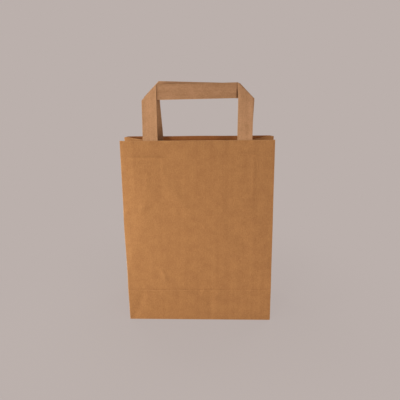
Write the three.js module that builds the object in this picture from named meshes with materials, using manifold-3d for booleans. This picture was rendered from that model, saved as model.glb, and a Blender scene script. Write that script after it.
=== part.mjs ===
// Flat handle paper bag, millimetres, +Z up.
// The bag stands open on its block bottom. The front panel faces -Y and the origin is the middle
// of the base. Above the base crease both wide panels lean in, and the side gussets fold inwards.

import * as THREE from "three";
import { mergeVertices } from "three/addons/utils/BufferGeometryUtils.js";
import Module from "manifold-3d";

const wasm = await Module();
wasm.setup();

// Driving dimensions of the bag. The real paper is half as thick as it is drawn here.
const BAG_WIDTH = 220;
const GUSSET_DEPTH = 100;
const PANEL_HEIGHT = 280;
const BASE_CREASE_HEIGHT = 52;
const MOUTH_DEPTH = 34;
const PAPER = 0.3;
const GUSSET_FOLD_START = 50;
const GUSSET_FOLD_SETTLE = 62;
const APEX_TUCK = 4;
const BOTTOM_LAP = 20;
const BOTTOM_FLAP_CORNER = 45;
const SEAM_WIDTH = 18;
const SEAM_CENTRE = 52;

// Driving dimensions of the handles
const HANDLE_WIDTH = 156;
const STRAP_WIDTH = 21.5;
const STRAP_THICKNESS = 0.6;
const FRONT_HANDLE_RISE = 79;
const REAR_HANDLE_RISE = 80.2;
const REAR_HANDLE_SHIFT = 2.8;
const STRAP_TAIL = 45;
const FOLD_GAP = 0.35;
const FRONT_BAR_TILT = 0.8;
const REAR_BAR_TILT = -1.75;

// Driving dimensions of the glued patches
const PATCH_TOP = 20;
const PATCH_HEIGHT = 32;
const PATCH_MARGIN = 7;
const PATCH_THICKNESS = 0.2;
const GLUE_FILM = 0.1;

// Levels of the bag's loops, and which points of a loop are the gusset creases and the lap seam
const UPPER_LEVELS = 18;
const CREASES = [2, 9];
const SEAM_POINTS = [4, 5, 6, 7];

// How deep glued layers reach into each other, the span in which corner points count as one, and
// the least fold that still gives the gusset a direction
const SMALL_BITE = 0.03;
const SAME_POINT = 1e-4;
const LEAST_FOLD = 1e-9;

const kraft = (name, colour) =>
  new THREE.MeshStandardMaterial({ name, color: colour, roughness: 0.85, metalness: 0 });
const KRAFT_BAG = kraft("brown kraft paper", "#b07b4b");
const KRAFT_HANDLE = kraft("folded kraft paper strip", "#ad7c57");
const KRAFT_PATCH = kraft("kraft paper patch", "#a8764b");

const upperHeight = PANEL_HEIGHT - BASE_CREASE_HEIGHT;
const leanRun = (GUSSET_DEPTH - MOUTH_DEPTH) / 2;
const lean = Math.asin(leanRun / upperHeight);
const mouthHeight = BASE_CREASE_HEIGHT + upperHeight * Math.cos(lean);

// Solids and meshes
function solidOf(geometry) {
  const bare = geometry.index ? geometry.toNonIndexed() : geometry.clone();
  bare.deleteAttribute("normal");
  bare.deleteAttribute("uv");
  const merged = mergeVertices(bare, SAME_POINT);
  const mesh = new wasm.Mesh({
    numProp: 3,
    vertProperties: new Float32Array(merged.attributes.position.array),
    triVerts: new Uint32Array(merged.index.array),
  });
  return new wasm.Manifold(mesh);
}

function meshOf(name, solid, material) {
  const raw = solid.getMesh();
  const geometry = new THREE.BufferGeometry();
  geometry.setAttribute("position", new THREE.BufferAttribute(new Float32Array(raw.vertProperties), 3));
  geometry.setIndex(new THREE.BufferAttribute(new Uint32Array(raw.triVerts), 1));
  geometry.computeVertexNormals();
  const mesh = new THREE.Mesh(geometry, material);
  mesh.name = name;
  return mesh;
}

// A flat outline given as [x, y] points, extruded by a thickness along +Z
function plate(points, thickness) {
  const outline = new THREE.Shape(points.map(([x, y]) => new THREE.Vector2(x, y)));
  return new THREE.ExtrudeGeometry(outline, { depth: thickness, bevelEnabled: false, steps: 1 });
}

// How far the wide panels stand from the middle, and how high they reach, at a distance up the panel
function panelAt(along) {
  const above = Math.max(0, along - BASE_CREASE_HEIGHT);
  const below = Math.min(along, BASE_CREASE_HEIGHT);
  return {
    half: GUSSET_DEPTH / 2 - above * Math.sin(lean),
    height: below + above * Math.cos(lean),
  };
}

// How far the middle crease of a gusset has folded in. It pulls the tip of the base triangle in a
// little, which creases the gusset from that tip to the base corners, and eases in above it.
function gussetFoldAt(along) {
  if (along <= GUSSET_FOLD_START) {
    return (APEX_TUCK * along) / GUSSET_FOLD_START;
  }
  const half = panelAt(along).half;
  const full = Math.sqrt(Math.max(0, (GUSSET_DEPTH / 2) ** 2 - half ** 2));
  const eased = THREE.MathUtils.smoothstep(along, GUSSET_FOLD_START, GUSSET_FOLD_START + GUSSET_FOLD_SETTLE);
  return APEX_TUCK + Math.max(0, full - APEX_TUCK) * eased;
}

// Distances up the panel at which a loop of the bag is taken
function levels() {
  const list = [0, GUSSET_FOLD_START, BASE_CREASE_HEIGHT];
  for (let i = 1; i <= UPPER_LEVELS; i += 1) {
    list.push(BASE_CREASE_HEIGHT + (upperHeight * i) / UPPER_LEVELS);
  }
  return list;
}

// The middle crease keeps its own paper length, so it ends a little lower than the panels
function creaseHeights(alongs) {
  const heights = [];
  alongs.forEach((along, i) => {
    if (i === 0) {
      heights.push(along);
      return;
    }
    const rise = along - alongs[i - 1];
    const fold = gussetFoldAt(along) - gussetFoldAt(alongs[i - 1]);
    heights.push(heights[i - 1] + Math.sqrt(Math.max(0, rise ** 2 - fold ** 2)));
  });
  return heights;
}

// One loop of the bag's outside, anticlockwise from above, starting at the front left corner
function loopAt(along, creaseHeight) {
  const { half, height } = panelAt(along);
  const side = BAG_WIDTH / 2;
  const crease = side - gussetFoldAt(along);
  const seamLeft = SEAM_CENTRE + SEAM_WIDTH / 2;
  const seamRight = SEAM_CENTRE - SEAM_WIDTH / 2;
  const lap = half + PAPER;
  return [
    [-side, -half, height],
    [side, -half, height],
    [crease, 0, creaseHeight],
    [side, half, height],
    [seamLeft, half, height],
    [seamLeft - PAPER, lap, height],
    [seamRight, lap, height],
    [seamRight - PAPER, half, height],
    [-side, half, height],
    [-crease, 0, creaseHeight],
  ].map((p) => new THREE.Vector3(...p));
}

// The same loop one paper thickness further in; the lap seam is only on the outside
function innerLoopOf(loop, fold) {
  const inset = PAPER / Math.cos(lean);
  const [frontLeftCorner] = loop;
  const panelFace = Math.abs(frontLeftCorner.y);
  const legAngle = Math.atan2(panelFace, Math.max(fold, LEAST_FOLD));
  const cornerShift = PAPER / Math.sin(legAngle) + inset / Math.tan(legAngle);
  const creaseShift = PAPER / Math.sin(legAngle);
  return loop.map((point, i) => {
    const moved = point.clone();
    if (CREASES.includes(i)) {
      moved.x -= Math.sign(point.x) * creaseShift;
      return moved;
    }
    moved.y = Math.sign(point.y) * (panelFace - inset);
    if (!SEAM_POINTS.includes(i)) {
      moved.x -= Math.sign(point.x) * cornerShift;
    }
    return moved;
  });
}

// A closed skin between an outer and an inner stack of loops, open at the top and at the bottom
function wallGeometry(outer, inner) {
  const count = outer[0].length;
  const rows = outer.length;
  const points = [...outer.flat(), ...inner.flat()];
  const innerStart = rows * count;
  const index = [];
  const quad = (a, b, c, d) => index.push(a, b, c, a, c, d);
  // Facets lean away from the middle crease on both sides, so that the base triangles stay flat
  const wallQuad = (a, b, c, d, fromCrease) => (fromCrease ? quad(b, c, d, a) : quad(a, b, c, d));
  for (let i = 0; i < count; i += 1) {
    const next = (i + 1) % count;
    for (let row = 0; row + 1 < rows; row += 1) {
      const low = row * count;
      const high = low + count;
      const fromCrease = CREASES.includes(i);
      wallQuad(low + i, low + next, high + next, high + i, fromCrease);
      const [a, b, c, d] = [low + i, low + next, high + next, high + i].map((k) => innerStart + k);
      wallQuad(a, d, c, b, fromCrease);
    }
    const top = (rows - 1) * count;
    quad(top + i, top + next, innerStart + top + next, innerStart + top + i);
    quad(next, i, innerStart + i, innerStart + next);
  }
  const geometry = new THREE.BufferGeometry();
  geometry.setAttribute("position", new THREE.Float32BufferAttribute(points.flatMap((p) => [p.x, p.y, p.z]), 3));
  geometry.setIndex(index);
  return geometry;
}

// The block bottom: tucked gusset ends inside, then the front flap, then the rear flap underneath
function bottomLayers() {
  const side = BAG_WIDTH / 2 - PAPER / 2;
  const half = GUSSET_DEPTH / 2 - PAPER / 2;
  const flapReach = half + BOTTOM_LAP / 2;
  const cut = flapReach / Math.tan(THREE.MathUtils.degToRad(BOTTOM_FLAP_CORNER));
  const flap = [
    [-side, -half],
    [side, -half],
    [side - cut, -half + flapReach],
    [-side + cut, -half + flapReach],
  ];
  const rearFlap = plate(flap.map(([x, y]) => [-x, -y]), PAPER);
  const frontFlap = plate(flap, PAPER);
  frontFlap.translate(0, 0, PAPER - SMALL_BITE);
  const tuck = GUSSET_DEPTH / 2 + BOTTOM_LAP / 2;
  const endTuck = [
    [side - tuck, -half],
    [side, -half],
    [side, half],
    [side - tuck, half],
  ];
  const rightEnd = plate(endTuck, PAPER);
  const leftEnd = plate(endTuck.map(([x, y]) => [-x, -y]), PAPER);
  rightEnd.translate(0, 0, 2 * (PAPER - SMALL_BITE));
  leftEnd.translate(0, 0, 2 * (PAPER - SMALL_BITE));
  return [rearFlap, frontFlap, rightEnd, leftEnd];
}

function bagBody() {
  const alongs = levels();
  const heights = creaseHeights(alongs);
  const outer = alongs.map((along, i) => loopAt(along, heights[i]));
  const inner = outer.map((loop, i) => innerLoopOf(loop, gussetFoldAt(alongs[i])));
  let body = solidOf(wallGeometry(outer, inner));
  bottomLayers().forEach((layer) => {
    body = body.add(solidOf(layer));
  });
  return meshOf("bag_body", body, KRAFT_BAG);
}

// A handle is made flat, with x across the bag, y up the panel from the mouth and z towards the
// middle of the bag: two straps lie in front, and the bar crosses behind them after a corner fold.
function handleSolid(rise, slope) {
  const outside = HANDLE_WIDTH / 2;
  const inside = outside - STRAP_WIDTH;
  const barLow = (x) => rise - STRAP_WIDTH + slope * x;
  const barHigh = (x) => rise + slope * x;
  const backFace = STRAP_THICKNESS + FOLD_GAP;
  const strap = (sign) => {
    const corners = [
      [sign * outside, -STRAP_TAIL],
      [sign * inside, -STRAP_TAIL],
      [sign * inside, barHigh(sign * inside)],
      [sign * outside, barLow(sign * outside)],
    ];
    return plate(sign > 0 ? corners.reverse() : corners, STRAP_THICKNESS);
  };
  const bar = plate(
    [
      [-outside, barLow(-outside)],
      [outside, barLow(outside)],
      [inside, barHigh(inside)],
      [-inside, barHigh(-inside)],
    ],
    STRAP_THICKNESS,
  );
  bar.translate(0, 0, backFace);
  const fold = (sign) => {
    const low = new THREE.Vector2(sign * outside, barLow(sign * outside));
    const high = new THREE.Vector2(sign * inside, barHigh(sign * inside));
    const inward = new THREE.Vector2(high.y - low.y, -(high.x - low.x)).normalize();
    if (inward.x * sign > 0) {
      inward.negate();
    }
    const lowIn = low.clone().addScaledVector(inward, STRAP_THICKNESS);
    const highIn = high.clone().addScaledVector(inward, STRAP_THICKNESS);
    const corners = [low, lowIn, highIn, high].map((p) => [p.x, p.y]);
    return plate(corners, backFace + STRAP_THICKNESS);
  };
  let handle = solidOf(strap(-1)).add(solidOf(strap(1))).add(solidOf(bar));
  handle = handle.add(solidOf(fold(-1))).add(solidOf(fold(1)));
  return handle;
}

// Puts a flat piece against the inside of a wide panel: side -1 is the front, +1 is the rear
function placeOnPanel(mesh, side, depth, shift) {
  const frame = new THREE.Matrix4().makeBasis(
    new THREE.Vector3(side, 0, 0),
    new THREE.Vector3(0, -side * Math.sin(lean), Math.cos(lean)),
    new THREE.Vector3(0, -side * Math.cos(lean), -Math.sin(lean)),
  );
  mesh.quaternion.setFromRotationMatrix(frame);
  const inwards = new THREE.Vector3(0, -side * Math.cos(lean), -Math.sin(lean));
  mesh.position.set(shift, (side * MOUTH_DEPTH) / 2, mouthHeight).addScaledVector(inwards, depth);
  return mesh;
}

const strapDepth = PAPER + GLUE_FILM;
const patchDepth = strapDepth + STRAP_THICKNESS + GLUE_FILM;

function handle(name, side, rise, tilt, shift) {
  const slope = side * Math.tan(THREE.MathUtils.degToRad(tilt));
  const mesh = meshOf(name, handleSolid(rise, slope), KRAFT_HANDLE);
  return placeOnPanel(mesh, side, strapDepth, shift);
}

function patch(name, side, shift) {
  const half = HANDLE_WIDTH / 2 + PATCH_MARGIN;
  const sheet = plate(
    [
      [-half, -PATCH_TOP - PATCH_HEIGHT],
      [half, -PATCH_TOP - PATCH_HEIGHT],
      [half, -PATCH_TOP],
      [-half, -PATCH_TOP],
    ],
    PATCH_THICKNESS,
  );
  return placeOnPanel(meshOf(name, solidOf(sheet), KRAFT_PATCH), side, patchDepth, shift);
}

const bag = new THREE.Group();
bag.name = "flat_handle_paper_bag";
bag.add(bagBody());
bag.add(handle("front_handle", -1, FRONT_HANDLE_RISE, FRONT_BAR_TILT, 0));
bag.add(handle("rear_handle", 1, REAR_HANDLE_RISE, REAR_BAR_TILT, REAR_HANDLE_SHIFT));
bag.add(patch("front_handle_patch", -1, 0));
bag.add(patch("rear_handle_patch", 1, REAR_HANDLE_SHIFT));

export default bag;
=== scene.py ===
"""A flat handle paper bag of brown kraft paper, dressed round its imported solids."""
import math

import bmesh
import bpy
import numpy as np
from bpy.props import FloatProperty, FloatVectorProperty, PointerProperty
from mathutils import Matrix, Vector, noise


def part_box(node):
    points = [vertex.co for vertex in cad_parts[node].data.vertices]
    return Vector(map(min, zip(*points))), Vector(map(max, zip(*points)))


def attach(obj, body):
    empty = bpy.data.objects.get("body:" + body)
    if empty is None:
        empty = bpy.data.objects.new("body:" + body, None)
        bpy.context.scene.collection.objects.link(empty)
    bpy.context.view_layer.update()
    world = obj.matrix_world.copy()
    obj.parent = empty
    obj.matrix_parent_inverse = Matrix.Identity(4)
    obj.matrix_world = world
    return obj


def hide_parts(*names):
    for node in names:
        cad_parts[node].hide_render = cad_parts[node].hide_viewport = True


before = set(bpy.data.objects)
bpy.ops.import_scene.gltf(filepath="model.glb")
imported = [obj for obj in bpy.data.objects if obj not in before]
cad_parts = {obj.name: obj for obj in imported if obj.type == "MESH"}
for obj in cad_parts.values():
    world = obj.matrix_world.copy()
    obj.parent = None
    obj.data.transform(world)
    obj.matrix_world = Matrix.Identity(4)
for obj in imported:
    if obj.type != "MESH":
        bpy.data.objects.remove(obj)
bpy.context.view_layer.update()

bl_info = {
    "name": "Flat Handle Paper Bag",
    "version": (1, 0, 0),
    "blender": (4, 5, 0),
    "location": "View3D > Sidebar > Paper Bag",
    "description": "Makes a creased kraft paper bag with folded handles, and a plain studio for it",
    "category": "Add Mesh",
}

MM = 0.001
BODY_LOW, BODY_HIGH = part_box("bag_body")

# Spacing of the ribs that the machine's felt presses in, and weight of the long streaks
BAG_RIBS, BAG_STREAKS = 2.2 * MM, 0.5
STRIP_RIBS, STRIP_STREAKS = 1.6 * MM, 1.6
# Each layer takes its paper from another place of the pattern, so that no two look alike
FLAP_PATTERN, TUCK_PATTERN, PATCH_PATTERN = 0.5, 0.9, 0.3

# Bends of the handles: radius at a corner fold, and the spacing of mesh lines along a strip
FOLD_RADIUS, STRIP_STEP = 0.55 * MM, 2.6 * MM
# Twist of each left strap, and how far the rear handle's one leans in at the mouth
FRONT_TWIST, REAR_TWIST, REAR_LEFT_LEAN = 0.09, 0.24, 1.7 * MM
# How far the right straps lean in at the bar, and how much further at the mouth
LEAN_AT_BAR, LEAN_BELOW = 0.7 * MM, 0.7 * MM
# The pinch beside a bar's right fold: its place and width, and its depth at the low and the high edge
PINCH_PLACE, PINCH_WIDTH = 0.4 * MM, 0.8 * MM
PINCH_LOW, PINCH_HIGH = 3.4 * MM, 0.5 * MM
# Seeds of the two handles' waves
FRONT_WAVES, REAR_WAVES = 2.3, 6.1

# The camera, found from the photo's corners of the bag: its place, its turns in degrees and its sensor
CAMERA_PLACE = Vector((15.0, -594.0, 394.0)) * MM
CAMERA_YAW, CAMERA_PITCH, CAMERA_ROLL = -1.29, 19.72, -0.69
SENSOR_WIDTH = 36.0

# Creases, dents and lines pressed through by the handle tails: ridges, or valleys where negative.
# In millimetres: from u, v to u, v of the panel, then how wide and how high
FRONT_MARKS = (
    (10, 256, 66, 255.5, 1.8, 0.9),
    (164, 259, 196, 260, 2.0, 0.8),
    (191, 281, 190, 190, 2.4, 0.5),
    (60, 256, 58, 225, 2.6, 0.7),
    (36, 234, 34, 205, 2.6, 0.8),
    (160, 99, 208, 98, 2.4, 0.7),
    (53, 87, 60, 65, 2.6, 1.3),
    (27, 53, 6, 0, 5.5, -1.1),
    (126, 54, 129, 0, 6.5, -1.3),
    (112, 42, 119, 56, 2.8, 0.8),
    (142, 49, 134, 38, 3.2, 0.8),
    (16, 168, 34, 182, 4.0, 1.9),
    (60, 215, 100, 170, 9.0, 0.9),
    (150, 170, 185, 110, 9.0, -1.0),
)
REAR_MARKS = (
    (166, 258, 208, 258, 1.6, 0.25),
    (34, 259, 66, 259, 1.6, 0.22),
    (60, 190, 30, 140, 3.0, 0.3),
    (150, 120, 180, 80, 3.0, -0.3),
)


def linear(hex_colour):
    """An sRGB hex value as the linear colour that Blender works in."""
    values = [int(hex_colour[i : i + 2], 16) / 255 for i in (1, 3, 5)]
    return [v / 12.92 if v <= 0.04045 else ((v + 0.055) / 1.055) ** 2.4 for v in values]


def colour_property(name, description, hex_colour):
    return FloatVectorProperty(
        name=name, description=description, default=linear(hex_colour), subtype="COLOR", min=0, max=1
    )


def length_property(name, description, default):
    return FloatProperty(name=name, description=description, default=default, unit="LENGTH", precision=5)


def angle_property(name, description, degrees):
    return FloatProperty(
        name=name, description=description, default=math.radians(degrees), unit="ROTATION"
    )


class BagSizes(bpy.types.PropertyGroup):
    """Sizes of the folded bag"""

    width: length_property("Width", "Width of the wide panels", BODY_HIGH.x - BODY_LOW.x)
    depth: length_property("Depth", "Depth of the block bottom", 100 * MM)
    panel: length_property("Panel height", "Height along the front panel", 280 * MM)
    crease: length_property("Base crease", "Height of the crease above the base", 52 * MM)
    mouth: length_property("Mouth depth", "Distance between the panels at the mouth", 34 * MM)
    paper: length_property("Paper", "Thickness of the paper", 0.15 * MM)
    fold_start: length_property("Gusset fold start", "Height where the gusset crease begins", 50 * MM)
    fold_settle: length_property("Gusset fold settle", "Length in which the gusset eases in", 62 * MM)
    apex: length_property("Apex tuck", "How far the tip of the base triangle is drawn in", 4 * MM)
    lap: length_property("Bottom lap", "Overlap of the bottom flaps", 20 * MM)
    seam: length_property("Seam width", "Width of the glued lap at the rear", 18 * MM)
    seam_place: length_property("Seam place", "How far the lap is from the rear panel's middle", 52 * MM)
    step: length_property("Mesh step", "Spacing of the front panel's mesh lines", 2.0 * MM)
    buckle: FloatProperty(name="Buckling", description="How strongly the paper buckles", default=1.0)


class HandleSizes(bpy.types.PropertyGroup):
    """Sizes of the two folded strips"""

    width: length_property("Width", "Outside width of a handle", 156 * MM)
    strap: length_property("Strip width", "Width of the folded strip", 21.5 * MM)
    thick: length_property("Strip thickness", "Thickness of the glued plies", 0.6 * MM)
    tail: length_property("Tail", "Length of a tail below the mouth", 45 * MM)
    front_rise: length_property("Front rise", "Height of the front bar's top above the mouth", 79 * MM)
    rear_rise: length_property("Rear rise", "Height of the rear bar's top above the mouth", 80.2 * MM)
    rear_shift: length_property("Rear shift", "How far the rear handle sits to the right", 2.8 * MM)
    film: length_property("Glue film", "Gap between glued pieces", 0.1 * MM)
    spring_left: length_property("Left spring", "How far the bar springs back at the left", 0.7 * MM)
    spring_right: length_property("Right spring", "How far the bar springs back at the right", 2.0 * MM)
    front_tilt: angle_property("Front tilt", "How far the front bar tilts up to the right", 0.8)
    rear_tilt: angle_property("Rear tilt", "How far the rear bar tilts, down to the right", -1.75)


class PatchSizes(bpy.types.PropertyGroup):
    """Sizes of the patches over the handle tails"""

    top: length_property("Top", "Distance of the patch below the mouth", 20 * MM)
    height: length_property("Height", "Height of the patch", 32 * MM)
    margin: length_property("Margin", "How far the patch passes the handle", 7 * MM)
    thick: length_property("Thickness", "Thickness of the patch", 0.2 * MM)


class PaperColours(bpy.types.PropertyGroup):
    """Colours of the paper"""

    bag: colour_property("Bag", "Brown kraft of the bag", "#AC7847")
    bag_deep: colour_property("Bag, deep", "Darker clouds in the bag's paper", "#96653C")
    # Painted bounce light: the inner face colours are brighter and redder than the bag's outer colours
    inner: colour_property("Inner face", "Unglazed face of the bag's paper, inside", "#BC7A45")
    inner_deep: colour_property("Inner face, deep", "Darker clouds on the inner face", "#AC6838")
    handle: colour_property("Handle", "Greyer kraft of the strips", "#B88862")
    handle_deep: colour_property("Handle, deep", "Darker clouds in the strips", "#A07450")
    shive: colour_property("Shives", "Dark wood specks", "#7A5230")
    # Painted shade: the dark tone that each strip's rear face is mixed towards
    rear_face_shade: colour_property("Rear face", "Tone that the strips' rear face goes towards", "#3A2012")
    fibre: colour_property("Fibres", "Pale fibres and rubbed folds", "#CDA071")


class StudioLook(bpy.types.PropertyGroup):
    """The plain studio round the bag"""

    backdrop: colour_property("Backdrop", "Pale warm grey of floor and wall", "#BBB0AC")
    lens: FloatProperty(name="Lens", description="Focal length of the camera in millimetres", default=36.7)
    key: FloatProperty(name="Key", description="Power of the lamp at the left", default=2.15, unit="POWER")
    side: FloatProperty(name="Side", description="Power of the low left lamp", default=3.2, unit="POWER")
    fill: FloatProperty(name="Fill", description="Power of the lamp at the right", default=1.7, unit="POWER")
    low: FloatProperty(name="Low", description="Power of the low lamp in front", default=0.44, unit="POWER")
    rear: FloatProperty(name="Rear", description="Power of each lamp behind", default=8.0, unit="POWER")
    sky: FloatProperty(name="Sky", description="Strength of the even light all round", default=0.46)


# Materials


def add_node(tree, kind, inputs=None, **fields):
    """Adds a node and sets its fields; each named input gets a value, or a link from another socket."""
    node = tree.nodes.new(kind)
    for name, value in fields.items():
        setattr(node, name, value)
    for name, given in (inputs or {}).items():
        if isinstance(given, bpy.types.NodeSocket):
            tree.links.new(given, node.inputs[name])
        else:
            node.inputs[name].default_value = given
    return node


def kraft_paper(name, pale, deep, rib_spacing, streak):
    """Kraft paper, machine finished: matt, cloudy brown with long fibres, dark shives and faint ribs.

    Its folds are rubbed paler, where the fibres have broken.
    """
    colours = bpy.context.scene.paper_colours
    material = bpy.data.materials.new(name)
    material.use_nodes = True
    tree = material.node_tree
    tree.nodes.clear()
    sheet = add_node(tree, "ShaderNodeAttribute", attribute_name="sheet").outputs["Vector"]
    fold = add_node(tree, "ShaderNodeAttribute", attribute_name="fold").outputs["Fac"]

    def cloudy(place, size, detail, roughness=0.5):
        inputs = {"Vector": place, "Scale": 1 / size, "Detail": detail, "Roughness": roughness}
        return add_node(tree, "ShaderNodeTexNoise", inputs).outputs["Fac"]

    def stretched(wide, long, turn=0.0):
        """The sheet's places, measured in steps of the given width and length."""
        inputs = {"Vector": sheet, "Rotation": (0, 0, turn), "Scale": (1 / wide, 1 / long, 1)}
        return add_node(tree, "ShaderNodeMapping", inputs).outputs["Vector"]

    def weighted(first, second, share):
        inputs = {0: second, 1: share, 2: first}
        return add_node(tree, "ShaderNodeMath", inputs, operation="MULTIPLY_ADD").outputs[0]

    def product(first, second):
        return add_node(tree, "ShaderNodeMath", {0: first, 1: second}, operation="MULTIPLY").outputs[0]

    def ranged(value, low, high, to_low, to_high):
        inputs = {"Value": value, "From Min": low, "From Max": high, "To Min": to_low, "To Max": to_high}
        return add_node(tree, "ShaderNodeMapRange", inputs).outputs["Result"]

    def mixed(share, first, second):
        inputs = {"Factor": share, 6: first, 7: second}
        return add_node(tree, "ShaderNodeMix", inputs, data_type="RGBA").outputs[2]

    # Clouds of thicker and thinner paper, about 14 mm across, and a finer mottle of 1.8 mm
    clouds = cloudy(sheet, 14 * MM, 4, 0.62)
    mottle = cloudy(sheet, 1.8 * MM, 3)
    # Fibres lie along the paper web; real ones are hair fine, and these are 0.9 by 5 mm so that they show
    fibres = cloudy(stretched(0.9 * MM, 5 * MM), 1, 3)
    cross = cloudy(stretched(0.45 * MM, 4 * MM, math.radians(62)), 1, 2)
    # Long streaks along the web, about 7 mm apart
    streaks = cloudy(stretched(7 * MM, 160 * MM), 1, 2)
    # Ribs pressed into the paper by the machine's felt
    split = add_node(tree, "ShaderNodeSeparateXYZ", {"Vector": sheet})
    turn = product(split.outputs["X"], 2 * math.pi / rib_spacing)
    ribs = add_node(tree, "ShaderNodeMath", {0: turn}, operation="SINE").outputs[0]
    # Shives are dark slivers of wood, a millimetre or so long and rare
    cells = add_node(tree, "ShaderNodeTexVoronoi", {"Vector": stretched(3.2 * MM, 7 * MM), "Scale": 1})
    speck = ranged(cells.outputs["Distance"], 0.05, 0.11, 0.45, 0)

    mottle_share, fibre_share, rib_share = 1.15, 1.05, 0.03
    tone = weighted(clouds, mottle, mottle_share)
    tone = weighted(tone, fibres, fibre_share)
    tone = weighted(tone, streaks, streak)
    tone = weighted(tone, ribs, rib_share)
    # Each noise has its middle at a half, and the tones used lie in a band on both sides of their sum
    middle = 0.5 + 0.5 * (mottle_share + fibre_share + streak)
    band = 0.42
    body = mixed(ranged(tone, middle - band, middle + band, 0, 1), (*deep, 1), (*pale, 1))
    fibred = mixed(ranged(cross, 0.62, 0.8, 0, 0.32), body, (*colours.fibre, 1))
    specked = mixed(speck, fibred, (*colours.shive, 1))
    worn = mixed(product(fold, mottle), specked, (*colours.fibre, 1))
    # Painted shade: the rear face of a strip is painted a little darker, standing in for shade on the
    # strips' rear faces
    rear_shade_share = 0.14
    rear_shaded = mixed(product(split.outputs["Z"], rear_shade_share), worn, (*colours.rear_face_shade, 1))

    fibre_height, cross_height = 2.2, 1.4
    height = weighted(weighted(ribs, fibres, fibre_height), cross, cross_height)
    relief = {"Height": height, "Distance": 0.022 * MM, "Strength": 1.0}
    bump = add_node(tree, "ShaderNodeBump", relief)
    # Paper is matt, and its paler places are a little smoother
    surface = {
        "Base Color": rear_shaded,
        "Roughness": ranged(tone, middle - band, middle + band, 0.9, 0.74),
        "Normal": bump.outputs["Normal"],
        "IOR": 1.45,
        "Specular IOR Level": 0.28,
    }
    shader = add_node(tree, "ShaderNodeBsdfPrincipled", surface)
    add_node(tree, "ShaderNodeOutputMaterial", {"Surface": shader.outputs["BSDF"]})
    return material


# Shapes of the folded sheet


def smooth(low, high, value):
    t = np.clip((value - low) / (high - low), 0, 1)
    return t * t * (3 - 2 * t)


def lines_between(spans, fine_at):
    """Mesh line places in spans given as (low, high, step), with finer ones beside each fold."""
    places = set()
    for low, high, step in spans:
        places.update(np.round(np.linspace(low, high, int((high - low) / step) + 1), 7))
    low, high = spans[0][0], spans[-1][1]
    for fold in fine_at:
        for offset in (-2.2, -1.3, -0.7, -0.3, 0, 0.3, 0.7, 1.3, 2.2):
            place = fold + offset * MM
            if low <= place <= high:
                places.add(round(place, 7))
    kept = []
    for place in sorted(places):
        if kept and place - kept[-1] < 0.25 * MM:
            continue
        kept.append(place)
    return np.array(kept)


class FoldedSheet:
    """Where a point of the flat tube of paper lies once the bag is folded up and stands open.

    u runs round the tube from the front left fold, anticlockwise from above, and v up the panel.
    """

    def __init__(self, sizes):
        self.s = sizes
        self.lean = math.asin((sizes.depth - sizes.mouth) / 2 / (sizes.panel - sizes.crease))
        self.mouth_z = sizes.crease + (sizes.panel - sizes.crease) * math.cos(self.lean)
        self.folds = np.cumsum(
            [0, sizes.width, sizes.depth / 2, sizes.depth / 2, sizes.width, sizes.depth / 2, sizes.depth / 2]
        )
        self.round_length = self.folds[-1]
        seam_centre = self.folds[4] - sizes.width / 2 - sizes.seam_place
        self.lap = (seam_centre - sizes.seam / 2, seam_centre + sizes.seam / 2)
        fine = np.linspace(0, sizes.panel * 1.05, 2000)
        rise = np.diff(fine, prepend=0)
        tuck = np.diff(self.tuck(fine), prepend=0)
        step = np.sqrt(np.maximum(rise**2 - tuck**2, 0))
        self.crease_v = fine
        self.crease_z = np.cumsum(step)

    def half_depth(self, v):
        return self.s.depth / 2 - np.maximum(v - self.s.crease, 0) * math.sin(self.lean)

    def tuck(self, v):
        """How far the gusset's middle crease has folded in; it also draws in the base triangle's tip."""
        half = self.half_depth(v)
        full = np.sqrt(np.maximum((self.s.depth / 2) ** 2 - half**2, 0))
        eased = smooth(self.s.fold_start, self.s.fold_start + self.s.fold_settle, v)
        above = self.s.apex + np.maximum(full - self.s.apex, 0) * eased
        return np.where(v < self.s.fold_start, self.s.apex * v / self.s.fold_start, above)

    def folded(self, u, v):
        """Places of the sharp folded sheet; below v = 0 it turns in under the base."""
        s = self.s
        turned = np.minimum(v, 0)
        v = np.maximum(v, 0)
        half = self.half_depth(v) + turned
        z = np.minimum(v, s.crease) + np.maximum(v - s.crease, 0) * math.cos(self.lean)
        side = np.full_like(v, s.width / 2) + turned
        middle = side - self.tuck(v)
        middle_z = np.interp(v, self.crease_v, self.crease_z)
        corners = [
            (-side, -half, z),
            (side, -half, z),
            (middle, 0 * v, middle_z),
            (side, half, z),
            (-side, half, z),
            (-middle, 0 * v, middle_z),
            (-side, -half, z),
        ]
        corners = [np.stack(c, axis=-1) for c in corners]
        around = np.mod(u, self.round_length)
        place = np.zeros(v.shape + (3,))
        for i in range(6):
            low, high = self.folds[i], self.folds[i + 1]
            here = (around >= low) & (around < high)
            t = ((around - low) / (high - low))[..., None]
            place = np.where(here[..., None], corners[i] * (1 - t) + corners[i + 1] * t, place)
        return place

    def at(self, u, v, softness):
        """The folded sheet with each fold bent round a small radius."""
        total = 0
        weights = ((-1, 0.22), (-0.5, 0.26), (0, 0.04), (0.5, 0.26), (1, 0.22))
        for du, wu in weights:
            for dv, wv in weights:
                total = total + wu * wv * self.folded(u + du * softness, v + dv * softness)
        return total


def cloud_of(points, size, seed):
    """Smooth noise from -1 to 1 with waves of about the given size."""
    flat = points.reshape(-1, 2)
    values = [noise.noise(Vector((a / size + seed, b / size - seed, seed * 0.37))) for a, b in flat]
    return np.array(values).reshape(points.shape[:-1])


def ridge(u, v, start, end, width, height):
    """A straight ridge (or valley, if height is negative) between two points of the sheet."""
    ax, ay = start
    dx, dy = end[0] - ax, end[1] - ay
    length2 = dx * dx + dy * dy
    t = np.clip(((u - ax) * dx + (v - ay) * dy) / length2, 0, 1)
    away = np.hypot(u - ax - t * dx, v - ay - t * dy)
    ends = np.sqrt(np.clip(4 * t * (1 - t), 0, 1))
    return height * np.exp(-((away / width) ** 2)) * ends


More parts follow.
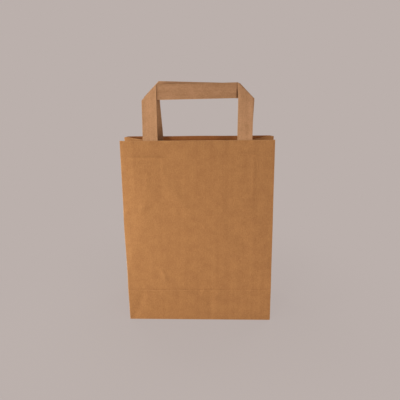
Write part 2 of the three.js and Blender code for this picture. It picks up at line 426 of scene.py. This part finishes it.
def marked(u, v, marks):
    """All the ridges and valleys of a table of marks."""
    out = 0
    for *line, wide, high in marks:
        left, low, right, top = (place * MM for place in line)
        out = out + ridge(u, v, (left, low), (right, top), wide * MM, high * MM)
    return out


def facet(u, v, start, end, slope, soft):
    """A flat facet that starts along a line from top to bottom and leans away on its low u side."""
    dx, dy = end[0] - start[0], end[1] - start[1]
    length = math.hypot(dx, dy)
    away = ((u - start[0]) * dy - (v - start[1]) * dx) / length
    return slope * soft * np.logaddexp(0, away / soft)


def buckles(sheet, u, v):
    """How far the paper stands out from its ideal faces, in metres, with all its creases."""
    s = sheet.s
    points = np.stack([u, v], axis=-1)
    # Broad and finer waves, weaker in the stiff part below the base crease
    broad = 0.55 * MM * cloud_of(points, 95 * MM, 3.1)
    finer = 0.28 * MM * cloud_of(points, 42 * MM, 7.7)
    stiff = 0.35
    out = (broad + finer) * (stiff + (1 - stiff) * smooth(s.crease, s.crease + 40 * MM, v))
    front = (u < s.width) | (u > sheet.round_length - 2 * MM)
    rear = (u > sheet.folds[3]) & (u < sheet.folds[4])

    # The wide panels belly out a little between the crease and the mouth
    belly = 2.6 * MM
    for begin, end in ((0, sheet.folds[1]), (sheet.folds[3], sheet.folds[4])):
        across = np.clip((u - begin) / (end - begin), 0, 1)
        up = np.clip((v - s.crease) / (s.panel - s.crease), 0, 1)
        out = out + belly * np.sin(math.pi * across) * np.sin(math.pi * up) ** 0.7 * (1 - 0.35 * up)

    # The base crease is a pressed valley all the way round
    crease_depth, crease_width = 0.5 * MM, 1.0 * MM
    out = out - crease_depth * np.exp(-(((v - s.crease) / crease_width) ** 2))
    out = out + np.where(front, marked(u, v, FRONT_MARKS), 0)
    out = out + np.where(rear, marked(u - sheet.folds[3], v, REAR_MARKS), 0)

    # The gussets: diagonal creases of the block bottom, and soft buckles above them
    for begin in (sheet.folds[1], sheet.folds[4]):
        middle = begin + s.depth / 2
        for foot, sign in ((begin, 1), (begin + s.depth, -1)):
            out = out + ridge(u, v, (foot, 0), (middle, s.fold_start), 1.3 * MM, -crease_depth)
            low, high = (foot + sign * 8 * MM, 62 * MM), (middle - sign * 6 * MM, 118 * MM)
            out = out + ridge(u, v, low, high, 6 * MM, 0.7 * MM)
    # The glued lap of the tube shows on the rear panel as a step
    low, high = sheet.lap
    ramp = 0.3 * MM
    step = smooth(low - ramp, low + ramp, u) * smooth(-high - ramp, ramp - high, -u)
    out = out + step * 2 * s.paper
    return out * s.buckle


def flare(sheet, u, v):
    """How far the paper has moved sideways, to the right, where folds have opened a little."""
    s = sheet.s
    high = smooth(s.crease + 10 * MM, s.crease + 118 * MM, v)
    top = smooth(s.panel - 110 * MM, s.panel, v)
    moved = 0 * u
    half_round = sheet.round_length / 2
    for fold, reach, amount in (
        (sheet.folds[0], 40 * MM, -3.4 * MM * high),
        (sheet.folds[1], 30 * MM, 0.7 * MM * high),
        (sheet.folds[3], 30 * MM, 3.9 * MM * top),
        (sheet.folds[4], 30 * MM, -2.8 * MM * top),
    ):
        beyond = np.abs(np.mod(u - fold + half_round, sheet.round_length) - half_round)
        moved = moved + amount * (1 - smooth(0, reach, beyond))
    return moved


def strip_belly(sheet, u, v):
    """How far the front's low edge has pushed forwards on the floor."""
    s = sheet.s
    across = np.clip(u / s.width, 0, 1)
    amount = (2.0 + 2.2 * across) * MM
    past_right = np.maximum(u - s.width, 0)
    past_left = np.where(u > sheet.round_length / 2, sheet.round_length - u, 0)
    front = (1 - smooth(0, 30 * MM, past_right)) * (1 - smooth(0, 30 * MM, past_left))
    amount = np.where(u > sheet.round_length / 2, 2.0 * MM, amount)
    return amount * front * (1 - smooth(0, s.crease, v))


def edge_facets(sheet, u, v):
    """How far the front's two edges bend back, where flat facets meet at a buckle near mid height."""
    fade, slope, soft = 30 * MM, 0.2, 1.6 * MM
    top, knee, foot = (13 * MM, 270 * MM), (34 * MM, 178 * MM), (2 * MM, 78 * MM)

    def bend(inwards, beyond):
        upper = facet(inwards, v, top, knee, slope, soft)
        lower = facet(inwards, v, knee, foot, slope, soft)
        return np.minimum(upper, lower) * (1 - smooth(0, fade, beyond))

    behind_left = u > sheet.round_length / 2
    from_left = np.where(behind_left, 0, u)
    past_left = np.where(behind_left, sheet.round_length - u, 0)
    from_right = np.maximum(sheet.s.width - u, 0)
    past_right = np.maximum(u - sheet.s.width, 0)
    left = bend(from_left, past_left)
    right_share = 0.25
    return np.where(behind_left, left, left + right_share * bend(from_right, past_right))


def fold_wear(sheet, u, v):
    """How much the paper is rubbed: strongest on the outer folds, weak on the pressed creases."""
    s = sheet.s
    worn = np.zeros_like(u)
    for i in (0, 1, 3, 4, 6):
        worn = np.maximum(worn, np.exp(-(((u - sheet.folds[i]) / (0.7 * MM)) ** 2)))
    worn = np.maximum(worn, 0.7 * np.exp(-((v / (0.8 * MM)) ** 2)))
    broken = smooth(-0.2, 0.7, cloud_of(np.stack([u, 0 * v], axis=-1), 24 * MM, 4.4))
    worn = np.maximum(worn, 0.3 * broken * np.exp(-(((v - s.crease + 1.4 * MM) / (0.7 * MM)) ** 2)))
    worn = np.maximum(worn, 0.6 * np.exp(-(((v - s.panel) / (0.5 * MM)) ** 2)))
    for edge in sheet.lap:
        worn = np.maximum(worn, 0.4 * np.exp(-(((u - edge) / (0.5 * MM)) ** 2)))
    return worn


def normals_of(grid, closed):
    """Unit normals of a grid of points, from its neighbours."""
    along = np.gradient(grid, axis=0)
    if closed:
        along = np.roll(grid, -1, axis=0) - np.roll(grid, 1, axis=0)
    up = np.gradient(grid, axis=1)
    normal = np.cross(along, up)
    return normal / np.maximum(np.linalg.norm(normal, axis=-1, keepdims=True), 1e-12)


class MeshParts:
    """Gathers grids of points, with their sheet places and fold wear, into one mesh."""

    def __init__(self):
        self.points = []
        self.sheet = []
        self.fold = []
        self.faces = []

    def add_grid(self, grid, u, v, fold, closed=False):
        start = len(self.points)
        columns, rows = grid.shape[:2]
        self.points.extend(grid.reshape(-1, 3).tolist())
        flat = np.stack([u, v, np.zeros_like(u)], axis=-1)
        self.sheet.extend(flat.reshape(-1, 3).tolist())
        self.fold.extend(fold.reshape(-1).tolist())
        last = columns if closed else columns - 1
        for i in range(last):
            a = start + i * rows
            b = start + ((i + 1) % columns) * rows
            for j in range(rows - 1):
                self.faces.append((a + j, b + j, b + j + 1, a + j + 1))

    def make(self, name, material):
        mesh = bpy.data.meshes.new(name)
        mesh.from_pydata(self.points, [], self.faces)
        mesh.attributes.new("sheet", "FLOAT_VECTOR", "POINT").data.foreach_set(
            "vector", np.array(self.sheet, dtype=np.float32).ravel()
        )
        mesh.attributes.new("fold", "FLOAT", "POINT").data.foreach_set(
            "value", np.array(self.fold, dtype=np.float32)
        )
        mesh.polygons.foreach_set("use_smooth", [True] * len(mesh.polygons))
        mesh.materials.append(material)
        mesh.update()
        piece = bpy.data.objects.new(name, mesh)
        bpy.context.scene.collection.objects.link(piece)
        return piece


def thicken(piece, thickness, inner_paper=None):
    """Gives a sheet its paper thickness, inwards from its outer face, and an inner face of its own paper."""
    solid = piece.modifiers.new("paper thickness", "SOLIDIFY")
    solid.thickness = thickness
    solid.offset = -1
    solid.use_even_offset = False
    if inner_paper:
        piece.data.materials.append(inner_paper)
        solid.material_offset = 1


def bottom_flaps(parts, sheet):
    """The block bottom's layers: tucked gusset ends inside, then the front flap, then the rear flap."""
    s = sheet.s
    # The layers end just inside the bag's walls, and lie a hair above each other
    clear, hair = 1 * MM, 0.01 * MM
    side = s.width / 2 - clear
    half = s.depth / 2 - clear
    reach = half + s.lap / 2

    def ripple(x, y):
        points = np.stack([x, y], axis=-1)
        return 0.12 * MM * cloud_of(points, 30 * MM, 5.5)

    def flap(sign, base_level):
        across = np.linspace(0, 1, 70)
        deep = np.linspace(0, reach, 30)
        t, d = np.meshgrid(across, deep, indexing="ij")
        half_width = side - d
        x = sign * (-half_width + 2 * half_width * t)
        y = sign * (-half + d)
        z = base_level(y) + np.abs(ripple(x, y))
        grid = np.stack([x, y, z], axis=-1)[::-1]
        edge = np.exp(-(((reach - d) / (0.8 * MM)) ** 2))
        parts.add_grid(grid, x[::-1] + FLAP_PATTERN, y[::-1], 0.5 * edge[::-1])

    def front_level(y):
        return 2 * hair + (s.paper + 3 * hair) * smooth(-s.lap / 2 - 4 * MM, -s.lap / 2, y)

    flap(1, front_level)
    flap(-1, lambda y: 0 * y + hair)
    tuck = s.depth / 2 + s.lap / 2
    for sign in (1, -1):
        deep = np.linspace(0, tuck, 26)
        across = np.linspace(-half, half, 36)
        d, y = np.meshgrid(deep, across, indexing="ij")
        x = sign * (side - d)
        level = 2.6 * s.paper + np.abs(ripple(x, y))
        grid = np.stack([x, y, level], axis=-1)
        grid = grid if sign < 0 else grid[::-1]
        parts.add_grid(grid, x + TUCK_PATTERN, y, 0 * x)


def bag_surface(sheet, u, v):
    """Places of the bag's outer face, with its buckles, bends and waved rim."""
    s = sheet.s
    fold_softness = 0.8 * MM
    grid = sheet.at(u, v, fold_softness)
    normal = normals_of(grid, closed=True)
    # Folds hold the paper straight, so it buckles less beside them
    hold, hold_width = 0.75, 2.5 * MM
    free = np.ones_like(u)
    for fold in sheet.folds:
        free = free * (1 - hold * np.exp(-(((u - fold) / hold_width) ** 2)))
    out = buckles(sheet, u, v) * smooth(-0.5 * MM, 3 * MM, v)
    # The cut rim waves gently up and down, and in and out
    rim = smooth(s.panel - 60 * MM, s.panel, v)
    points = np.stack([u, 0 * v + 1], axis=-1)
    out = out + 0.8 * MM * rim * cloud_of(points, 55 * MM, 1.4)
    # Behind the handle tails and their patch the glued paper can't dent inwards
    glued = smooth(s.panel - 75 * MM, s.panel - 55 * MM, v)
    tight = 0.08 * MM
    out = out * (1 - glued) + glued * tight * np.logaddexp(0, out / tight)
    grid = grid + normal * (out * free)[..., None]
    grid[..., 1] += s.buckle * (edge_facets(sheet, u, v) - strip_belly(sheet, u, v))
    grid[..., 0] += s.buckle * flare(sheet, u, v)
    grid[..., 2] += 0.5 * MM * rim * cloud_of(points, 60 * MM, 9.2)
    # The rear panel's upper corners have worn down a little
    worn_down = 1.4 * MM * smooth(s.panel - 12 * MM, s.panel, v)
    for fold in (sheet.folds[3], sheet.folds[4]):
        grid[..., 2] -= worn_down * np.exp(-(((u - fold) / (3.5 * MM)) ** 2))
    # Nothing goes below the floor
    grid[..., 2] = np.maximum(grid[..., 2], 0)
    return grid


class BAG_OT_make_body(bpy.types.Operator):
    """Makes the folded, creased and buckled paper bag"""

    bl_idname = "paper_bag.make_body"
    bl_label = "Bag body"

    def execute(self, context):
        sizes = context.scene.bag_sizes
        colours = context.scene.paper_colours
        sheet = FoldedSheet(sizes)
        across = ((0, sizes.width, sizes.step), (sizes.width, sheet.round_length, 1.75 * sizes.step))
        u_lines = lines_between(across, (*sheet.folds, *sheet.lap))[:-1]
        # The sheet turns in under the base by the lip; lines are finer at each crease and at the rim
        lip = 7 * MM
        pressed = sizes.panel - 24 * MM
        creased = (0, sizes.fold_start, sizes.crease, pressed, sizes.panel)
        v_lines = lines_between(((-lip, sizes.panel, 1.15 * sizes.step),), creased)
        u, v = np.meshgrid(u_lines, v_lines, indexing="ij")
        parts = MeshParts()
        parts.add_grid(bag_surface(sheet, u, v), u, v, fold_wear(sheet, u, v), closed=True)
        bottom_flaps(parts, sheet)
        paper = kraft_paper("ribbed kraft paper", colours.bag, colours.bag_deep, BAG_RIBS, BAG_STREAKS)
        piece = parts.make("kraft_bag", paper)
        # The inner face is the unglazed side of the same paper, with its own tone, made brighter and redder
        # as painted bounce light from inside the bag
        inner = kraft_paper("inner kraft paper with painted bounce light", colours.inner, colours.inner_deep, BAG_RIBS, BAG_STREAKS)
        thicken(piece, sizes.paper, inner)
        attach(piece, "root")
        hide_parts("bag_body")
        return {"FINISHED"}


def panel_frame(sheet, side, depth):
    """The matrix from a panel's flat frame to the bag: x right, y up the panel, z out of the bag."""
    lean = sheet.lean
    up = Vector((0, -side * math.sin(lean), math.cos(lean)))
    outwards = Vector((0, side * math.cos(lean), math.sin(lean)))
    across = up.cross(outwards)
    origin = Vector((0, side * sheet.s.mouth / 2, sheet.mouth_z)) - outwards * depth
    matrix = Matrix.Identity(4)
    for column, axis in enumerate((across, up, outwards)):
        for row in range(3):
            matrix[row][column] = axis[row]
    matrix.translation = origin
    return matrix


def wrapped(a, b, handle):
    """Folds the straight strip: along a, across b, to the flat frame's x, y and height above the bar."""
    radius, spring_length = FOLD_RADIUS, 12 * MM
    place = np.stack([a, b, np.zeros_like(a)], axis=-1)
    for sign in (-1, 1):
        foot = np.array([sign * handle["outside"], handle["low"]])
        head = np.array([sign * handle["inside"], handle["low"] + handle["strap"]])
        line = (head - foot) / np.linalg.norm(head - foot)
        beyond = np.array([-line[1], line[0]])
        if beyond[0] * sign < 0:
            beyond = -beyond
        rel_x, rel_y = a - foot[0], b - foot[1]
        along = rel_x * line[0] + rel_y * line[1]
        away = rel_x * beyond[0] + rel_y * beyond[1]
        turn = np.clip(away / radius, 0, math.pi)
        after = np.maximum(away - math.pi * radius, 0)
        out = radius * np.sin(turn) - after
        sprung = handle["spring"][sign] * (1 - np.exp(-after / spring_length))
        height = radius * (1 - np.cos(turn)) + sprung
        x = foot[0] + along * line[0] + out * beyond[0]
        y = foot[1] + along * line[1] + out * beyond[1]
        here = away > 0
        place = np.where(here[..., None], np.stack([x, y, height], axis=-1), place)
    return place


def strip_section(half, thick):
    """Round a strip's section, from half its width and thickness: places across and heights.

    Two small grooves at one edge show that it is made of three plies.
    """
    inset, corner, groove = 0.3 * MM, 0.08 * MM, 0.12 * MM
    across = np.linspace(-half + inset, half - inset, 13)
    section = [(b, thick) for b in across]
    section += [(half - corner, thick * 0.75), (half, thick * 0.4), (half - groove, thick * 0.33)]
    section += [(half, thick * 0.26), (half, -thick * 0.26), (half - groove, -thick * 0.33)]
    section += [(half, -thick * 0.4), (half - corner, -thick * 0.75)]
    section += [(b, -thick) for b in across[::-1]]
    section += [(-half + corner, -thick * 0.75), (-half, 0), (-half + corner, thick * 0.75)]
    return np.array(section).T


def strip_lines(outside, middle, strap, reach):
    """Mesh line places along a strip, finer at its corner folds and along its right half of the bar."""
    fold_step, bar_step, least = 0.35 * MM * math.sqrt(2), 0.7 * MM, 0.2 * MM
    lines = list(lines_between(((-reach, reach, STRIP_STEP),), ()))
    for sign in (-1, 1):
        lines.extend(sign * (middle + k * fold_step) for k in range(-2, 12))
    lines.extend(np.arange(outside - 2 * strap, middle, bar_step))
    lines = np.array(sorted(set(np.round(lines, 7))))
    return lines[np.concatenate([[True], np.diff(lines) > least])]


def folded_strip(sheet, side, rise, tilt, shift, twist, left_lean, seed):
    """One handle: a strip of three plies with a fold at each upper corner."""
    sizes = bpy.context.scene.handle_sizes
    outside = sizes.width / 2
    inside = outside - sizes.strap
    handle = {
        "outside": outside,
        "inside": inside,
        "low": rise - sizes.strap,
        "strap": sizes.strap,
        "spring": {-1: sizes.spring_left, 1: sizes.spring_right},
    }
    middle = outside - sizes.strap / 2
    reach = middle + math.pi * FOLD_RADIUS + (rise - sizes.strap / 2) + sizes.tail
    a_lines = strip_lines(outside, middle, sizes.strap, reach)
    half = sizes.strap / 2
    thick = sizes.thick / 2
    b_line, h_line = strip_section(half, thick)
    a0, b = np.meshgrid(a_lines, b_line, indexing="ij")
    h = np.broadcast_to(h_line, a0.shape)
    # Mesh lines slant with the corner folds and straighten away from them
    places = (0, middle - 24 * MM, middle, middle + 6 * MM, middle + 30 * MM)
    slant = np.interp(np.abs(a_lines), places, (0, 0, 1, 1, 0))
    slant = (slant * -np.sign(a_lines))[:, None]
    a = a0 + slant * b
    height_b = handle["low"] + half + b
    nudge = 0.05 * MM
    base = wrapped(a, height_b, handle)
    da = wrapped(a + nudge, height_b, handle) - wrapped(a - nudge, height_b, handle)
    db = wrapped(a, height_b + nudge, handle) - wrapped(a, height_b - nudge, handle)
    normal = np.cross(da, db)
    normal = normal / np.maximum(np.linalg.norm(normal, axis=-1, keepdims=True), 1e-15)
    points = np.stack([a, b * 0.4], axis=-1)
    sway = 0.25 * MM * cloud_of(points, 30 * MM, seed)
    sway = sway + 0.9 * MM * cloud_of(points, 90.09 * MM, seed + 2)
    free = smooth(0, 25 * MM, base[..., 1])
    # A lap of the folded plies runs along the face that shows on the bar
    lap = 0.14 * MM * smooth(-2.2 * MM, -1.8 * MM, b) * (h > 0)
    base = base + normal * (h + lap)[..., None]
    base[..., 2] += sway * free
    # The left straps are twisted a little
    base[..., 2] -= twist * free * np.maximum(-base[..., 0] - inside, 0)
    # Bar plane to panel plane: the straps lie against the panel, the bar behind them
    to_right = smooth(-inside, inside, base[..., 0])
    spring = sizes.spring_left * (1 - to_right) + sizes.spring_right * to_right
    base[..., 2] -= 2 * FOLD_RADIUS + spring
    # The bar is pinched back beside its right fold
    pinch = np.exp(-(((a - inside - PINCH_PLACE) / PINCH_WIDTH) ** 2)) * (np.abs(a) < inside + 6 * MM)
    deep = PINCH_LOW - (PINCH_LOW - PINCH_HIGH) * smooth(-4 * MM, 5 * MM, b)
    base[..., 2] -= deep * pinch
    # The straps lean in towards the mouth: the right ones, and the rear handle's left one
    below = smooth(rise - sizes.strap, 0, base[..., 1])
    base[..., 0] += left_lean * below * smooth(inside - 8 * MM, inside, -base[..., 0])
    lean_in = LEAN_AT_BAR + LEAN_BELOW * below
    base[..., 0] -= lean_in * smooth(inside - 8 * MM, inside, base[..., 0])
    turned = tilt * smooth(0, rise - sizes.strap, base[..., 1])
    base[..., 1] += base[..., 0] * np.tan(turned)
    depth = sheet.s.paper + sizes.film + thick
    frame_matrix = np.array(panel_frame(sheet, side, depth))
    local = base.copy()
    local[..., 0] *= -side
    world = local @ frame_matrix[:3, :3].T + frame_matrix[:3, 3]
    world[..., 0] += shift
    # Rubbed along the corner folds and at both edges
    at_fold = np.abs(a + np.sign(a_lines)[:, None] * b) - middle - 0.9 * MM
    worn = 0.8 * np.exp(-((at_fold / (1.0 * MM)) ** 2))
    worn = np.maximum(worn, 0.6 * smooth(half - 0.5 * MM, half, np.abs(b)))
    parts = MeshParts()
    closed_ring(parts, world, b, a, smooth(-thick * 0.2, thick * 0.2, h), worn)
    return parts


def closed_ring(parts, grid, u, v, back, fold):
    """A grid whose rows close on themselves, with flat ends; back is 1 on the sheet's rear face."""
    start = len(parts.points)
    columns, rows = grid.shape[:2]
    parts.points.extend(grid.reshape(-1, 3).tolist())
    parts.sheet.extend(np.stack([u, v, back], axis=-1).reshape(-1, 3).tolist())
    parts.fold.extend(fold.reshape(-1).tolist())
    for i in range(columns - 1):
        for j in range(rows):
            k = (j + 1) % rows
            low, high = start + i * rows, start + (i + 1) * rows
            parts.faces.append([low + j, high + j, high + k, low + k])
    parts.faces.append([start + j for j in range(rows)])
    parts.faces.append([start + (columns - 1) * rows + j for j in range(rows)][::-1])


def mend_normals(piece):
    """Points every face of a closed piece outwards."""
    mesh = bmesh.new()
    mesh.from_mesh(piece.data)
    bmesh.ops.recalc_face_normals(mesh, faces=mesh.faces)
    mesh.to_mesh(piece.data)
    mesh.free()


class BAG_OT_make_handles(bpy.types.Operator):
    """Makes the two folded paper handles"""

    bl_idname = "paper_bag.make_handles"
    bl_label = "Flat handles"

    def execute(self, context):
        sizes = context.scene.handle_sizes
        colours = context.scene.paper_colours
        sheet = FoldedSheet(context.scene.bag_sizes)
        paper = kraft_paper(
            "folded kraft strip", colours.handle, colours.handle_deep, STRIP_RIBS, STRIP_STREAKS
        )
        front = (-1, sizes.front_rise, sizes.front_tilt, 0, FRONT_TWIST, 0, FRONT_WAVES)
        rear_sizes = (sizes.rear_rise, sizes.rear_tilt, sizes.rear_shift)
        rear = (1, *rear_sizes, REAR_TWIST, REAR_LEFT_LEAN, REAR_WAVES)
        for node, strip in (("front_handle", front), ("rear_handle", rear)):
            piece = folded_strip(sheet, *strip).make("kraft_" + node, paper)
            mend_normals(piece)
            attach(piece, "root")
            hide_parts(node)
        return {"FINISHED"}


class BAG_OT_make_patches(bpy.types.Operator):
    """Makes the paper patches that hold the handle tails inside the bag"""

    bl_idname = "paper_bag.make_patches"
    bl_label = "Handle patches"

    def execute(self, context):
        sizes = context.scene.patch_sizes
        strips = context.scene.handle_sizes
        colours = context.scene.paper_colours
        sheet = FoldedSheet(context.scene.bag_sizes)
        paper = kraft_paper("patch kraft paper", colours.bag, colours.bag_deep, BAG_RIBS, BAG_STREAKS)
        made = (("front_handle_patch", -1, 0), ("rear_handle_patch", 1, strips.rear_shift))
        for node, side, shift in made:
            reach = strips.width / 2 + sizes.margin
            x = np.linspace(-reach, reach, 86)
            y = np.linspace(-sizes.top - sizes.height, -sizes.top, 18)
            xs, ys = np.meshgrid(x, y, indexing="ij")
            inside = strips.width / 2 - strips.strap
            on_tail = smooth(inside - 3 * MM, inside, np.abs(xs)) * smooth(
                -strips.width / 2 - 3 * MM, -strips.width / 2, -np.abs(xs)
            )
            rest = strips.film + strips.thick * on_tail
            frame_matrix = np.array(panel_frame(sheet, side, sheet.s.paper + strips.film))
            local = np.stack([-side * xs, ys, -rest], axis=-1)
            world = local @ frame_matrix[:3, :3].T + frame_matrix[:3, 3]
            world[..., 0] += shift
            parts = MeshParts()
            parts.add_grid(world, xs + PATCH_PATTERN, ys, 0 * xs)
            piece = parts.make("kraft_" + node, paper)
            thicken(piece, sizes.thick)
            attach(piece, "root")
            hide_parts(node)
        return {"FINISHED"}


# The studio


def seen_directly(tree):
    """A socket that is 1 for the camera's rays and for reflected and refracted ones."""
    path = add_node(tree, "ShaderNodeLightPath").outputs
    seen = path["Is Camera Ray"]
    for ray in ("Is Glossy Ray", "Is Transmission Ray"):
        seen = add_node(tree, "ShaderNodeMath", {0: seen, 1: path[ray]}, operation="MAXIMUM").outputs[0]
    return seen


def backdrop_paper():
    """Seamless background paper: quite matt, an even pale warm grey that keeps a faint shadow.

    Away from the bag it goes over to the plain colour, so that floor and background meet unseen.
    """
    colour = (*bpy.context.scene.studio_look.backdrop, 1)
    material = bpy.data.materials.new("seamless background paper")
    material.use_nodes = True
    tree = material.node_tree
    tree.nodes.clear()
    matt = add_node(tree, "ShaderNodeBsdfDiffuse", {"Color": colour})
    even = add_node(tree, "ShaderNodeEmission", {"Color": colour, "Strength": 1.0})
    place = add_node(tree, "ShaderNodeTexCoord").outputs["Object"]
    away = add_node(tree, "ShaderNodeVectorMath", {0: place}, operation="LENGTH").outputs["Value"]
    # How much of the plain colour shows, from 12 cm to 38 cm away
    inputs = {"Value": away, "From Min": 0.12, "From Max": 0.38, "To Min": 0.86, "To Max": 1.0}
    plain = add_node(tree, "ShaderNodeMapRange", inputs, interpolation_type="SMOOTHSTEP").outputs["Result"]
    share = add_node(tree, "ShaderNodeMath", {0: seen_directly(tree), 1: plain}, operation="MULTIPLY")
    both = {0: share.outputs[0], 1: matt.outputs[0], 2: even.outputs[0]}
    shown = add_node(tree, "ShaderNodeMixShader", both)
    add_node(tree, "ShaderNodeOutputMaterial", {"Surface": shown.outputs[0]})
    return material


def studio_air(look):
    """Even light all round; the camera sees the backdrop's colour there."""
    world = bpy.data.worlds.new("even studio light")
    world.use_nodes = True
    tree = world.node_tree
    tree.nodes.clear()
    light = add_node(tree, "ShaderNodeBackground", {"Color": (1, 0.99, 0.98, 1), "Strength": look.sky})
    seen = add_node(tree, "ShaderNodeBackground", {"Color": (*look.backdrop, 1), "Strength": 1.0})
    both = {0: seen_directly(tree), 1: light.outputs[0], 2: seen.outputs[0]}
    shown = add_node(tree, "ShaderNodeMixShader", both)
    add_node(tree, "ShaderNodeOutputWorld", {"Surface": shown.outputs[0]})
    return world


def lamp(name, place, target, size, power, colour):
    data = bpy.data.lights.new(name, "AREA")
    data.shape = "DISK"
    data.size = size
    data.energy = power
    data.color = colour
    light = bpy.data.objects.new(name, data)
    light.location = place
    light.rotation_euler = (Vector(target) - Vector(place)).to_track_quat("-Z", "Y").to_euler()
    bpy.context.scene.collection.objects.link(light)


class BAG_OT_set_stage(bpy.types.Operator):
    """Sets up the seamless backdrop, the soft lamps and the camera"""

    bl_idname = "paper_bag.set_stage"
    bl_label = "Studio"

    def execute(self, context):
        look = context.scene.studio_look
        floor_radius, rim_points, rings = 6.0, 64, 8
        points = [(0, 0, 0)]
        faces = []
        for ring in range(1, rings + 1):
            reach = floor_radius * (ring / rings) ** 2
            for k in range(rim_points):
                turn = 2 * math.pi * k / rim_points
                points.append((reach * math.cos(turn), reach * math.sin(turn), 0))
                here = 1 + (ring - 1) * rim_points + k
                beside = 1 + (ring - 1) * rim_points + (k + 1) % rim_points
                if ring == 1:
                    faces.append((0, here, beside))
                else:
                    faces.append((here - rim_points, here, beside, beside - rim_points))
        mesh = bpy.data.meshes.new("seamless_floor")
        mesh.from_pydata(points, [], faces)
        mesh.materials.append(backdrop_paper())
        floor = bpy.data.objects.new("seamless_floor", mesh)
        floor.location.z = -0.05 * MM
        context.scene.collection.objects.link(floor)

        middle, foot = (0, 0, 0.14), (0.03, 0, 0.06)
        warm, cool, greenish = (1.0, 0.99, 0.97), (1.0, 0.995, 0.99), (0.95, 1.0, 0.93)
        lamp("key_left", (-0.42, -0.78, 0.44), middle, 0.2, look.key, warm)
        lamp("side_left", (-0.55, -0.25, 0.06), middle, 0.3, look.side, greenish)
        lamp("fill_right", (0.75, -0.9, 0.5), middle, 0.2, look.fill, cool)
        lamp("low_front", (0.15, -0.44, 0.04), foot, 0.2, look.low, cool)
        lamp("rear_left", (-1.1, 1.3, 0.8), middle, 0.9, look.rear, cool)
        lamp("rear_right", (1.2, 1.2, 0.8), middle, 0.9, look.rear, cool)
        context.scene.world = studio_air(look)

        yaw, pitch, roll = (math.radians(a) for a in (CAMERA_YAW, CAMERA_PITCH, CAMERA_ROLL))
        ahead = Vector((math.sin(yaw) * math.cos(pitch), math.cos(yaw) * math.cos(pitch), -math.sin(pitch)))
        right = Vector((math.cos(yaw), -math.sin(yaw), 0))
        above = right.cross(ahead)
        right, above = (
            right * math.cos(roll) + above * math.sin(roll),
            above * math.cos(roll) - right * math.sin(roll),
        )
        turn = Matrix((right, above, -ahead)).transposed()
        data = bpy.data.cameras.new("camera")
        data.lens = look.lens
        data.sensor_width = SENSOR_WIDTH
        data.clip_start = 0.01
        camera = bpy.data.objects.new("camera", data)
        camera.matrix_world = Matrix.Translation(CAMERA_PLACE) @ turn.to_4x4()
        context.scene.collection.objects.link(camera)
        context.scene.camera = camera
        context.scene.view_settings.view_transform = "Standard"
        return {"FINISHED"}


class BAG_PT_tools(bpy.types.Panel):
    """Lists the bag's pieces and its studio"""

    bl_label = "Paper Bag"
    bl_idname = "BAG_PT_tools"
    bl_space_type = "VIEW_3D"
    bl_region_type = "UI"
    bl_category = "Paper Bag"

    def draw(self, context):
        for operator in OPERATORS:
            self.layout.operator(operator.bl_idname)


OPERATORS = (BAG_OT_set_stage, BAG_OT_make_body, BAG_OT_make_handles, BAG_OT_make_patches)
GROUPS = {
    "bag_sizes": BagSizes,
    "handle_sizes": HandleSizes,
    "patch_sizes": PatchSizes,
    "paper_colours": PaperColours,
    "studio_look": StudioLook,
}


def register():
    for group in GROUPS.values():
        bpy.utils.register_class(group)
    for name, group in GROUPS.items():
        setattr(bpy.types.Scene, name, PointerProperty(type=group))
    for part in (*OPERATORS, BAG_PT_tools):
        bpy.utils.register_class(part)


def unregister():
    for part in (BAG_PT_tools, *OPERATORS):
        bpy.utils.unregister_class(part)
    for name, group in GROUPS.items():
        delattr(bpy.types.Scene, name)
        bpy.utils.unregister_class(group)


def main():
    register()
    bpy.ops.paper_bag.set_stage()
    bpy.ops.paper_bag.make_body()
    bpy.ops.paper_bag.make_handles()
    bpy.ops.paper_bag.make_patches()


if __name__ == "__main__":
    main()
